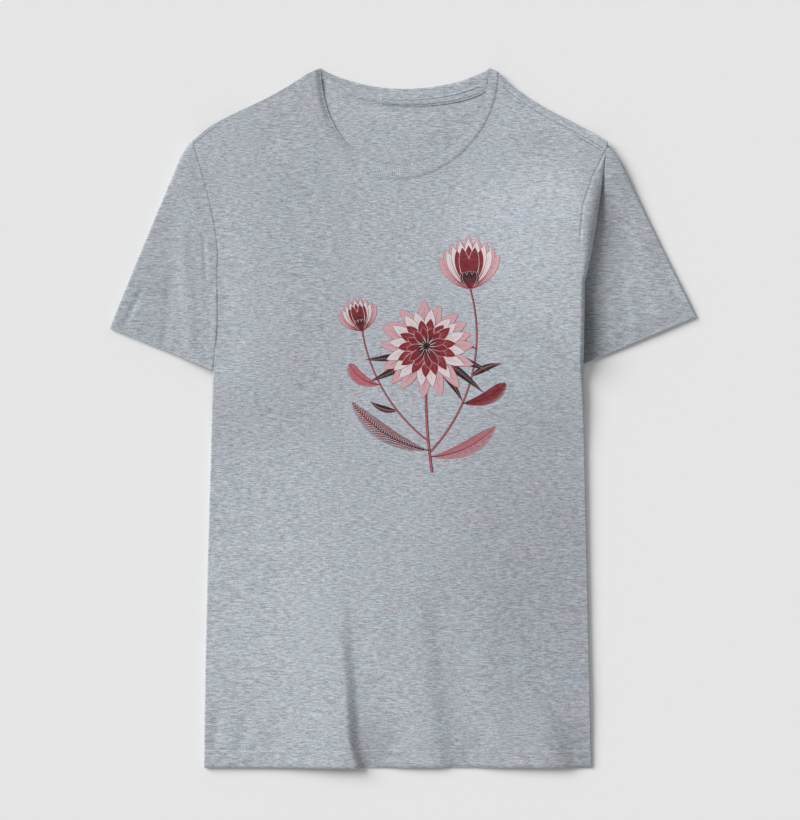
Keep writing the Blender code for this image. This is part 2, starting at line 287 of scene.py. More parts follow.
def dent(x, y, start, end, deep, half):
    """Depth of a dent: full on a line between two points and 0 at its half width, fading at
    its ends."""
    (ax, ay), (bx, by) = start, end
    dx, dy = bx - ax, by - ay
    length = hypot(dx, dy)
    along = ((x - ax) * dx + (y - ay) * dy) / length
    across = ((x - ax) * dy - (y - ay) * dx) / length
    fade = between(-half, half, length - half, length + half, along)
    return deep * (fade * (1 - smooth(0, half, abs(across))))


def beside_fold(x, y, fold):
    """Distance from a fold's valley, and the share of its depth that is left that far up."""
    points, *_, fading = fold
    rise = (y - BOTTOM) / (points[-1][1] - BOTTOM)
    return x - path_x(points, y), (1 - clamp(rise)) ** fading


def fold_depth(x, y, fold):
    """Depth of a fold that runs up from the hem, deepest there."""
    _, deep, before, beyond, _ = fold
    away, left = beside_fold(x, y, fold)
    return deep * left * (1 - smooth(0, before if away < 0 else beyond, abs(away)))


def path_x(points, y):
    for (ax, ay), (bx, by) in zip(points, points[1:]):
        if y <= by:
            return mix(ax, bx, (y - ay) / (by - ay))
    return points[-1][0]


# Heights.


def base(y):
    """What the body's turned edges lie on: the ground, or the tucked sleeve."""
    return TUCKED_SLEEVE * smooth(-0.04, ARMPIT_Y - 0.012, y)


def edge_step(y, side):
    """How far the body's turned edge stands above the sleeve beside it."""
    if side > 0:
        return mix(SLEEVE_STEP, 0.0004, smooth(0.19, 0.275, y))
    return mix(0.0012, 0.0003, smooth(0.13, 0.185, y))


def edge_top(y, side, inwards=0.0):
    """Height of the front along its turned edges, highest beside the left sleeve. The rise
    starts further up as inwards goes from 0 at the edge to 1 in the middle."""
    stack = mix(*EDGE, smooth(-0.2, -0.03, y))
    full = between(0.038 + 0.1 * inwards, 0.076 + 0.13 * inwards, 0.2, 0.272, y)
    return base(y) + stack + (SIDE_LIFT if side > 0 else -0.0006) * full


def edge_radius(y, side):
    """Half width of the rounded edge: full beside the left sleeve, small along a seam."""
    if side < 0:
        return mix(0.0012, 0.0008, smooth(0.03, 0.08, y))
    full = mix(0.001, 0.005, smooth(-0.02, 0.08, y))
    full = mix(full, 0.0115, smooth(0.14, 0.19, y))
    return mix(full, 0.0008, smooth(0.235, 0.277, y))


def edge_dip(x, y):
    """How far the front dips towards the right armhole, where the sleeve stands proud."""
    away = CENTRE_X - x
    edge = body_half(y, -1)
    beside = between(0.03, 0.06, 0.2, 0.27, y)
    return 0.0018 * beside * smooth(edge - 0.04, edge - 0.001, away)


def crest_height(x, y):
    """The cloth that stands up beside the main fold, highest at the hem."""
    before = HEM_FOLDS[0][2]
    away, left = beside_fold(x, y, HEM_FOLDS[0])
    away += before
    crest = 1 - smooth(0, before, away) if away > 0 else exp(-(away / 0.08) ** 2)
    return CREST * crest * left


def front_height(x, y):
    """Height of the front's outer face between its turned edges: a plain sheet, then the
    folds, the unevenness, the hem seam and the armhole seam. Along the wearer's left shoulder
    it folds down to the back."""
    side = side_of(x - CENTRE_X)
    edge = body_half(y, side)
    middle = MIDDLE + crest_height(x, y)
    rim = smooth(edge - 0.15, edge - 0.05, abs(x - CENTRE_X))
    near = clamp((abs(x - CENTRE_X) - edge + 0.15) / 0.146)
    if side > 0:
        rim = mix(rim, mix(near, smooth(0, 1, near), 0.5), smooth(0.0, 0.06, y))
    height = mix(middle, edge_top(y, side, 1 - near), rim) - edge_dip(x, y)
    height += 0.0028 * exp(-((x - 0.15) / 0.04) ** 2 - ((y + 0.345) / 0.07) ** 2)
    for fold in HEM_FOLDS:
        height -= fold_depth(x, y, fold)
    for row in FRONT_DENTS:
        height -= dent(x, y, *row)
    height += 0.00045 * relief(x, y * 0.6, 0.06, 1.0)
    height += 0.00016 * relief(x, y, 0.018, 5.0)
    above = y - BOTTOM - HEM_WIDTH
    height += 0.0003 * (1 - smooth(-0.0008, 0.0004, above))
    height -= 0.0003 * exp(-(above / 0.0009) ** 2)
    height -= seam_groove(x, y)
    below = clamp((shoulder_y(x) - y) / 0.01)
    fades = smooth(0.099, 0.112, x) * (1 - smooth(edge - 0.03, edge - 0.004, x - CENTRE_X))
    return mix(height, SHOULDER_FOLD, (1 - below) ** 2.5 * fades)


def seam_groove(x, y):
    """The armhole seam of the wearer's left side, which lies on top of the body's edge."""
    shown = between(0.166, 0.19, 0.272, 0.28, y)
    away = x - path_x(ARMHOLE_SEAM, y)
    return 0.0006 * shown * exp(-(away / 0.0011) ** 2)


def back_height(x, y):
    """Height of the back's lower face: on the ground in the middle, then up to the part that
    lies on its turned-under sides. It shows inside the neck, and meets the front's edge along
    the shoulders."""
    side = side_of(x - CENTRE_X)
    edge = body_half(y, side)
    inner = edge - turned_under(y) - 0.03
    upper = min(edge_top(y, side), front_height(x, y)) - LAYERS
    height = mix(0.0, upper, smooth(inner - 0.045, inner, abs(x - CENTRE_X)))
    shown = smooth(0.21, 0.25, y) * (1 - smooth(0.086, 0.1, abs(x)))
    height = mix(height, inside_height(x, y) - JERSEY, shown)
    below = clamp((shoulder_y(x) - y) / 0.008)
    fades = smooth(0.088, 0.098, abs(x))
    fades *= 1 - smooth(edge - 0.041, edge - 0.006, abs(x - CENTRE_X))
    return mix(height, front_height(x, y) - LAYERS, (1 - below) ** 2 * fades)


def inside_height(x, y):
    """Height of the back's upper face inside the neck, which stands a little higher on the
    wearer's right."""
    s = min(1.0, abs(x - NECK_X) / BACK_SEAM[0])
    below = BACK_SEAM[2] - BACK_SEAM[1] * (1 - s * s) ** (BACK_SEAM[4] / 2) - y
    right = 1 - smooth(-0.01, 0.075, x)
    lift = 0.0002 + 0.001 * smooth(0.002, 0.02, below)
    return INSIDE + right * lift + 0.0002 * relief(x, y, 0.03, 9.0)


# Materials.


class Nodes:
    """Adds and links the nodes of one material."""

    def __init__(self, name):
        self.material = bpy.data.materials.new(name)
        self.material.use_nodes = True
        self.tree = self.material.node_tree
        self.shader = self.tree.nodes["Principled BSDF"]
        self.coordinates = self.add("TexCoord").outputs["Object"]

    def add(self, kind, **values):
        """Adds a node, with the values of its sockets."""
        made = self.tree.nodes.new("ShaderNode" + kind)
        for name, value in values.items():
            made.inputs[name].default_value = value
        return made

    def link(self, a, b):
        self.tree.links.new(a, b)

    def mapped(self, scale, location=(0, 0, 0)):
        made = self.add("Mapping", Scale=scale, Location=location)
        self.link(self.coordinates, made.inputs["Vector"])
        return made.outputs["Vector"]

    def noise(self, scale, detail=2.0, roughness=0.5):
        place = self.mapped(scale)
        made = self.add("TexNoise", Scale=1.0, Detail=detail, Roughness=roughness)
        self.link(place, made.inputs["Vector"])
        return made.outputs["Fac"]

    def patch(self, centre, reach):
        """1 at a point in plan, fading to 0 on an ellipse round it."""
        (x, y), (wide, long) = centre, reach
        place = self.mapped((1 / wide, 1 / long, 0), (-x / wide, -y / long, 0))
        made = self.add("TexGradient")
        made.gradient_type = "SPHERICAL"
        self.link(place, made.inputs["Vector"])
        return made.outputs["Fac"]

    def ramp(self, value, stops):
        made = self.add("ValToRGB")
        ramp = made.color_ramp
        while len(ramp.elements) < len(stops):
            ramp.elements.new(0.5)
        for element, (place, colour) in zip(ramp.elements, stops):
            element.position = place
            element.color = (*colour, 1)
        self.link(value, made.inputs["Fac"])
        return made.outputs["Color"]

    def multiply(self, a, b):
        """One colour multiplied by another."""
        made = self.add("Mix")
        made.data_type = "RGBA"
        made.blend_type = "MULTIPLY"
        sockets = {socket.name: socket for socket in made.inputs if socket.enabled}
        sockets["Factor"].default_value = 1.0
        self.link(a, sockets["A"])
        self.link(b, sockets["B"])
        return [socket for socket in made.outputs if socket.enabled][0]

    def sum(self, a, b, weight):
        made = self.add("Math")
        made.operation = "MULTIPLY_ADD"
        self.link(b, made.inputs[0])
        made.inputs[1].default_value = weight
        self.link(a, made.inputs[2])
        return made.outputs[0]

    def bump(self, height, strength, distance):
        made = self.add("Bump", Strength=strength, Distance=distance)
        self.link(height, made.inputs["Height"])
        self.link(made.outputs["Normal"], self.shader.inputs["Normal"])

    def finish(self, roughness, specular=None, colour=None, sheen=None):
        """Sets the shader's own sockets. Returns the material."""
        values = {"Roughness": roughness, "Specular IOR Level": specular, "Base Color": colour,
                  "Sheen Weight": sheen}
        for name, value in values.items():
            if value is not None:
                self.shader.inputs[name].default_value = value
        return self.material


def heather(nodes, tone):
    """Colour of heather yarn: pale, grey and dark fibres in short streaks along the courses,
    over wide bluish and mauve patches. Returns the colour and the streaks."""
    streaks = nodes.noise((150, 1000, 300), 2.5, 0.6)
    specks = nodes.noise((500, 1050, 600), 1.5, 0.6)
    patches = nodes.noise((38, 60, 40), 1.5, 0.5)
    yarn = nodes.sum(streaks, specks, 0.55)
    dark = tuple(c * 0.56 for c in tone)
    pale = tuple(min(1.0, c * 1.4) for c in tone)
    fibres = nodes.ramp(yarn, ((0.52, dark), (0.78, tone), (1.0, pale)))
    tint = nodes.ramp(patches, ((0.38, (0.975, 1.006, 1.01)), (0.62, (1.015, 0.99, 1.0))))
    return nodes.multiply(fibres, tint), yarn


def jersey(name, tone, painted_light_and_shade=()):
    """Heather jersey, with soft patches of painted light and shade that make it paler or darker:
    the centre and reach of each, and its shade."""
    nodes = Nodes(name)
    colour, yarn = heather(nodes, tone)
    for centre, reach, shade in painted_light_and_shade:
        tint = nodes.ramp(nodes.patch(centre, reach), ((0.0, (1, 1, 1)), (0.75, (shade,) * 3)))
        colour = nodes.multiply(colour, tint)
    nodes.link(colour, nodes.shader.inputs["Base Color"])
    loops = nodes.add("TexWave", Scale=360, Distortion=1.5)
    loops.wave_type = "BANDS"
    loops.bands_direction = "X"
    nodes.link(nodes.coordinates, loops.inputs["Vector"])
    nodes.bump(nodes.sum(yarn, loops.outputs["Fac"], 0.15), 0.35, 0.0004)
    nodes.shader.inputs["Sheen Roughness"].default_value = 0.6
    return nodes.finish(0.92, 0.2, sheen=0.15)


def thread(name, tone):
    nodes = Nodes(name)
    fibres = nodes.noise((1500, 1500, 1500), 1.0)
    dark = tuple(c * 0.75 for c in tone)
    pale = tuple(c * 1.1 for c in tone)
    colour = nodes.ramp(fibres, ((0.35, dark), (0.65, pale)))
    nodes.link(colour, nodes.shader.inputs["Base Color"])
    nodes.bump(fibres, 0.3, 0.0001)
    return nodes.finish(0.75)


def ink(name, colour, wear):
    """Screen-print ink: the yarns under it show through as fine streaks."""
    nodes = Nodes(name)
    streaks = nodes.noise((170, 900, 300), 2.5, 0.6)
    thin = tuple(mix(c, g, wear) for c, g in zip(colour, CLOTH_UNDER_INK))
    full = tuple(c * 0.92 for c in colour)
    shade = nodes.ramp(streaks, ((0.36, full), (0.62, thin)))
    nodes.link(shade, nodes.shader.inputs["Base Color"])
    nodes.bump(streaks, 0.3, 0.0003)
    return nodes.finish(0.7, 0.3)


# Meshes.


def add_mesh(name, points, faces, surface):
    mesh = bpy.data.meshes.new(name)
    mesh.from_pydata(points, [], faces)
    mesh.materials.append(surface)
    mesh.shade_smooth()
    made = bpy.data.objects.new(name, mesh)
    bpy.context.scene.collection.objects.link(made)
    return made


def thicken(made, thickness):
    """Gives a sheet its thickness, on the side away from its outer face."""
    solid = made.modifiers.new("thickness", "SOLIDIFY")
    solid.thickness = thickness
    solid.offset = -1
    graph = bpy.context.evaluated_depsgraph_get()
    mesh = bpy.data.meshes.new_from_object(made.evaluated_get(graph))
    made.modifiers.clear()
    mesh.name = made.name
    mesh.set_sharp_from_angle(angle=radians(55))
    made.data = mesh
    return made


def grid_faces(rows, wide, ring=False, flip=False, start=0):
    faces = []
    for i in range(rows - 1):
        for j in range(wide if ring else wide - 1):
            k = (j + 1) % wide
            face = tuple(start + n for n in
                         (i * wide + j, i * wide + k, (i + 1) * wide + k, (i + 1) * wide + j))
            faces.append(face[::-1] if flip else face)
    return faces


def add_cloth(name, rows, thickness, surface, replaced,
              flip=False, ring=False):
    """A sheet of cloth from a grid of points on its outer face."""
    points = [p for row in rows for p in row]
    made = add_mesh(name, points, grid_faces(len(rows), len(rows[0]), ring, flip), surface)
    thicken(made, thickness)
    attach(made, "root")
    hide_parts(*replaced)


# Body.


def panel_columns(seam, fine, short):
    """Columns of a panel from the neck to its turned edges, on both sides: the X at the hem
    as a share of the flat part, and the X and Y of the upper end. The last one ends short of
    the shoulder's tip. fine is 1 for the closest columns and 2 for half as many."""
    wide, deep, *rest = seam
    outside = (wide + GAP, deep + GAP, *rest)
    columns = []
    for share in spread(-1, 1, 108 // fine):
        turn = mix(asin(share), share * pi / 2, 0.5)
        columns.append((NECK_SHARE * sin(turn), *neck_curve(outside, turn)))
    for share in spread(0, 0.84, 36 // fine)[1:] + spread(0.84, 1, 20 // fine)[1:]:
        for sign in (1, -1):
            start = neck_curve(outside, sign * pi / 2)[0]
            x = mix(start, CENTRE_X + sign * (SHOULDER_HALF - short[sign]), share)
            column = (sign * mix(NECK_SHARE, 1, share), x, shoulder_y(x))
            columns = columns + [column] if sign > 0 else [column] + columns
    return columns


def panel_point(share, top_x, top_y, rise, half):
    """A point of a column, which leans over below the chest and ends at the column's upper
    end. half gives the width of the flat part at each height."""
    y = mix(BOTTOM, SHOULDER_Y, rise)
    y += (top_y - SHOULDER_Y) * max(0.0, (rise - 0.6) / 0.4) ** 1.3
    side = side_of(share)
    top_share = (top_x - CENTRE_X) / half(top_y, side)
    lean = smooth(0, 0.62, (y - BOTTOM) / (SHOULDER_Y - BOTTOM))
    return CENTRE_X + mix(share, top_share, lean) * half(y, side), y


def panel_rises(fine):
    """Rows of a panel from 0 at the hem to 1 at the shoulders."""
    hem = 0.026 / (SHOULDER_Y - BOTTOM)
    rises = spread(0, HEM_ROUND, 5) + spread(HEM_ROUND, hem, 24 // fine)[1:]
    return rises + spread(hem, 0.97, 230 // fine)[1:] + spread(0.97, 1, 16 // fine)[1:]


def add_turned_edges(row, steps, radius, floor):
    """Rounds a row over at both ends and turns it under: steps is the number of faces in the
    rounding, radius gives its half width, and floor the height of the part below."""
    for side in (1, -1):
        last = row[-1] if side > 0 else row[0]
        under = turned_under(last.y)
        x, y, top, low = last.x, last.y, last.z, floor(last.y)
        edge = [Vector((x + side * radius(y, side) * sin(t), y,
                        mix(low, top, (1 + cos(t)) / 2))) for t in spread(0, pi, steps)]
        edge += [Vector((x - side * under * share, y, low)) for share in spread(0, 1, 8)[1:]]
        row[:] = row + edge[1:] if side > 0 else edge[:0:-1] + row


def panel_rows(columns, fine, half, height, *edges):
    """Rows of a panel with its turned edges; height gives the surface at X, Y and rise."""
    rows = []
    for rise in panel_rises(fine):
        row = []
        for share, top_x, top_y in columns:
            x, y = panel_point(share, top_x, top_y, rise, half)
            row.append(Vector((x, y, height(x, y, rise))))
        add_turned_edges(row, *edges)
        rows.append(row)
    return rows


def front_rows():
    def half(y, side):
        return body_half(y, side) - edge_radius(y, side)

    def height(x, y, rise):
        rounding = 0.0012 * (1 - min(1.0, rise / HEM_ROUND)) ** 2
        return max(front_height(x, y) - rounding, FRONT_LOWEST)

    columns = panel_columns(FRONT_SEAM, 1, {1: 0.0012, -1: 0.0012})
    return panel_rows(columns, 1, half, height, 14, edge_radius, base)


def back_rows():
    def half(y, side):
        if side > 0:
            return body_half(y, side) - (edge_radius(y, side) + 0.002)
        beside = between(0.03, 0.06, 0.235, 0.265, y)
        return body_half(y, side) - mix(0.0034, 0.012, beside)

    columns = panel_columns(BACK_SEAM, 2, {1: 0.0032, -1: 0.0038})
    return panel_rows(columns, 2, half, lambda x, y, rise: back_height(x, y),
                      6, lambda y, side: 0.001, lambda y: base(y) + 0.0022)


# Sleeves.


def sleeve_fold(side):
    """Points of the sleeve's outer fold in plan, from under the shoulder to the tip."""
    sign, slope, tip, lean, _ = SLEEVES[side]
    tip = Vector((sign * tip[0], tip[1]))
    along = Vector((-sign * sin(lean), cos(lean)))
    inwards = Vector((-sign * cos(slope), sin(slope)))
    gap = Vector((sign * SHOULDER_TOP[0], SHOULDER_TOP[1])) - tip
    across = along.x * inwards.y - along.y * inwards.x
    corner = tip + along * ((gap.x * inwards.y - gap.y * inwards.x) / across)
    first, last = corner + inwards * CORNER[sign], corner - along * CORNER[sign]
    start = CENTRE_X + sign * (SHOULDER_HALF - TUCK)
    start = Vector((start, shoulder_y(start) - 0.0015))
    points = [start]
    for t in spread(0, 1, 16):
        p = (1 - t) ** 2 * first + 2 * t * (1 - t) * corner + t * t * last
        if sign * (p.x - start.x) > 0.0125:
            points.append(p)
    inward = Vector((-sign * cos(lean), -sin(lean)))
    for t in spread(0, 1, 24)[1:]:
        points.append(last.lerp(tip, t) + inward * BOW[sign] * sin(pi * t))
    return points


def along_path(points, share):
    lengths = [(b - a).length for a, b in zip(points, points[1:])]
    left = share * sum(lengths)
    for a, b, length in zip(points, points[1:], lengths):
        if left <= length:
            return a.lerp(b, left / length)
        left -= length
    return points[-1].copy()


class SleevePlan:
    """A sleeve in plan, from under the body (v = 0) to its hem (v = 1), and from the
    underarm (u = 0) to the outer fold (u = 1)."""

    def __init__(self, side):
        self.side = side
        self.sign, *_, (inner_x, inner_y) = SLEEVES[side]
        self.fold = sleeve_fold(side)
        self.tip = self.fold[-1]
        edge = Vector((self.sign * inner_x, inner_y))
        self.inner = edge + (edge - self.tip).normalized() * TUCK
        self.start_y = self.fold[0].y
        self.underarm_y = self.inner.y + 0.016

    def tuck(self, u):
        return mix(UNDERARM_TUCK, TUCK, min(1.0, u / 0.6))

    def armhole(self, u):
        y = mix(self.underarm_y, self.start_y, u)
        return Vector((CENTRE_X + self.sign * (body_half(y, self.sign) - self.tuck(u)), y))

    def cuff(self, u):
        return self.inner.lerp(self.tip, u)

    def point(self, u, v):
        straight = self.armhole(u).lerp(self.cuff(u), v)
        outer = along_path(self.fold, v) - self.armhole(1).lerp(self.cuff(1), v)
        return straight + outer * u ** 3

    def height(self, p):
        """Height of the sleeve's upper face."""
        y = p.y
        outside = abs(p.x - CENTRE_X) - body_half(y, self.sign)
        step = edge_step(y, self.sign)
        tucked = step / SLEEVE_STEP
        beside = max(LOWEST_BESIDE, edge_top(y, self.sign) - step)
        if self.sign < 0:
            seam = exp(-((outside - 0.0008) / 0.0035) ** 2)
            beside = front_height(CENTRE_X - body_half(y, -1) + 0.0015, y)
            beside += mix(0.0001, 0.0004, smooth(0.11, 0.17, y)) * seam
        level = smooth(mix(0.004, 0.012, tucked), 0.05, outside)
        height = mix(beside, SLEEVE_HEIGHT, level)
        along = (self.tip - self.inner).normalized()
        above = abs((p.x - self.inner.x) * along.y - (p.y - self.inner.y) * along.x)
        height -= 0.0012 * (1 - smooth(0, 0.018, above)) * smooth(0.01, 0.04, outside)
        for row in SLEEVE_DENTS[self.side]:
            height -= dent(p.x, p.y, *row)
        height += 0.0003 * relief(p.x, p.y, 0.035, 3.0)
        start = mix(-0.0036, -0.004, tucked)
        rise = smooth(start, start + mix(0.003, 0.016, tucked), outside)
        return mix(TUCKED_HEIGHT, height, rise)

    def row_point(self, row, u):
        """A point of a row; the rows are closest where the sleeve comes out from under the
        body."""
        hidden, near, far = SLEEVE_ROWS
        length = (self.cuff(u) - self.armhole(u)).length
        start = min(self.tuck(u) - 0.003, length * 0.6)
        end = min(self.tuck(u) + 0.01, length * 0.8)
        if row <= hidden:
            gone = start * row / hidden
        elif row <= hidden + near:
            gone = mix(start, end, (row - hidden) / near)
        else:
            gone = mix(end, length, (row - hidden - near) / far)
        return self.point(u, gone / length)


def sleeve_rings(plan):
    """Closed rows of points round a sleeve, rounded at its two folds."""
    rings = []
    for row in range(sum(SLEEVE_ROWS) + 1):
        width = (plan.row_point(row, 1) - plan.row_point(row, 0)).length
        ends = [plan.height(plan.row_point(row, u)) / 2 / width for u in (0.01, 0.99)]
        flats = spread(ends[0], 1 - ends[1], 56)
        arcs = spread(pi / 2, -pi / 2, 10)[1:-1]
        marks = [(u, 1.0) for u in flats]
        marks += [(1 - ends[1] * (1 - cos(a)), sin(a)) for a in arcs]
        marks += [(u, -1.0) for u in reversed(flats)]
        marks += [(ends[0] * (1 - cos(a)), sin(a)) for a in reversed(arcs)]
        ring = []
        for u, lift in marks:
            p = plan.row_point(row, u)
            height = plan.height(p) * (0.4 if row == 0 else 1.0)
            ring.append(Vector((p.x, p.y, height / 2 * (1 + lift))))
        rings.append(ring)
    return rings


# Collar and tape.


def rib_turns(curve, pitch):
    """Turns at four even steps per rib along a neck curve."""
    fine = spread(-pi / 2, pi / 2, 720)
    points = [Vector(neck_curve(curve, t)) for t in fine]
    gone = [0.0]
    for a, b in zip(points, points[1:]):
        gone.append(gone[-1] + (b - a).length)
    ribs = round(gone[-1] / pitch)
    turns, k = [], 0
    for target in spread(0, gone[-1], ribs * 4):
        while k < len(fine) - 2 and gone[k + 1] < target:
            k += 1
        turns.append(mix(fine[k], fine[k + 1], (target - gone[k]) / (gone[k + 1] - gone[k])))
    return turns


def collar_rows(seam, edge, height, pitch):
    """A neck band from under its seam to its folded edge."""
    turns = rib_turns(seam, pitch)
    rows = []
    for share in [-0.06, 0.0, 0.05, 0.11] + spread(0.2, 0.86, 8) + [0.93, 0.975, 1.0]:
        row = []
        for i, turn in enumerate(turns):
            a, b = neck_curve(seam, turn), neck_curve(edge, turn)
            x, y = mix(a[0], b[0], share), mix(a[1], b[1], share)
            fade = between(0.04, 0.16, 0.9, 1.0, share)
            z = height(turn, share) + RIB_RISE * fade * cos(i * pi / 2)
            row.append(Vector((x, y, z)))
        rows.append(row)
    return rows


def front_collar_height(turn, share):
    """The band lies flush with the front at its seam and slopes down to its folded edge on
    the wearer's right; on the left it stands a little above the front."""
    left = smooth(-0.55, -0.15, sin(turn))
    seam = front_height(*neck_curve(FRONT_SEAM, turn)) - 0.0001
    proud = seam + 0.0008 * left * smooth(-0.02, 0.22, share)
    return mix(proud, mix(0.0044, seam + 0.0003, left), smooth(0.25, 1.0, share) ** 1.5)


def back_collar_height(turn, share):
    """The band lies level, and rises to the front's band at its ends."""
    crown = 0.0003 * sin(pi * clamp(share))
    level = mix(0.0021, 0.004, smooth(radians(50), radians(86), abs(turn)))
    return level + crown - 0.0006 * smooth(0.9, 1.0, share) ** 2


def tape_point(turn, share):
    """The tape's outer face from its lower edge to its upper one. Its lower edge lies flush
    on the wearer's right and stands a little proud on the left."""
    x, y = neck_curve(BACK_SEAM, turn)
    below = smooth(radians(5), radians(58), turn)
    y -= 0.002 + 0.0072 * below
    low = inside_height(x, y) + mix(0.0001, 0.001, smooth(-0.025, 0.055, x))
    z = mix(low, mix(0.0033, 0.0028, below), smooth(0.0, 0.55, share))
    z -= 0.0002 * smooth(0.9, 1.0, share)
    z -= 0.0007 * smooth(0.8, 1.0, abs(turn) / TAPE_REACH)
    return Vector((x, y + (0.0085 + 0.0025 * below) * share, z))


def tape_rows():
    return [[tape_point(turn, share) for turn in spread(-TAPE_REACH, TAPE_REACH, 160)]
            for share in spread(0, 1, 12)]


# Stitches.


def heading_of(v):
    return atan2(v.y, v.x)


def towards(angle):
    return Vector((cos(angle), sin(angle)))


def walk(points, pitch):
    """Places at even steps along a line of points, each with the line's direction."""
    lengths = [(b - a).length for a, b in zip(points, points[1:])]
    total, gone, k, places = sum(lengths), pitch / 2, 0, []
    start = 0.0
    while gone < total:
        while start + lengths[k] < gone:
            start += lengths[k]
            k += 1
        a, b = points[k], points[k + 1]
        places.append((a.lerp(b, (gone - start) / lengths[k]), (b - a).normalized()))
        gone += pitch
    return places


def add_stitches(name, lines, height, pitch, length, width, surface, chance):
    """Short raised threads along lines in plan, sunk halfway into the cloth."""
    points, faces = [], []
    for line in lines:
        for place, ahead in walk(line, pitch):
            ahead = towards(heading_of(ahead) + chance.uniform(-0.05, 0.05))
            across = Vector((-ahead.y, ahead.x))
            size = length * chance.uniform(0.9, 1.08)
            first = len(points)
            for share, wide in ((-0.5, 0.25), (-0.32, 0.9), (0.0, 1.0), (0.32, 0.9), (0.5, 0.25)):
                p = place + ahead * share * size
                z = height(p.x, p.y) - 0.00012 * (1 - wide)
                for turn in spread(0, 2 * pi, 6)[:-1]:
                    q = p + across * cos(turn) * wide * width / 2
                    points.append((q.x, q.y, z + sin(turn) * wide * width * 0.35))
            faces += grid_faces(5, 6, ring=True, start=first)
            faces.append(tuple(range(first + 5, first - 1, -1)))
            faces.append(tuple(range(first + 24, first + 30)))
    made = add_mesh(name, points, faces, surface)
    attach(made, "root")
    return made


def left_of(line, i):
    """The direction to the left of a line at one of its points."""
    ahead = line[min(i + 1, len(line) - 1)] - line[max(i - 1, 0)]
    return Vector((-ahead.y, ahead.x)).normalized()


# Print.


def curve_from(start, heading, length, bend, count=24):
    """Points of a curve that starts in a direction and bends evenly."""
    points = [Vector(start)]
    for i in range(count):
        step = towards(heading + bend * (i + 0.5) / count) * length / count
        points.append(points[-1] + step)
    return points


def petal_shape(share):
    """Half width of a petal along its length, widest beyond its middle and pointed."""
    return 3.44 * share * (1 - share) ** 0.8


def leaf_shape(share):
    return sin(pi * share ** 0.85)


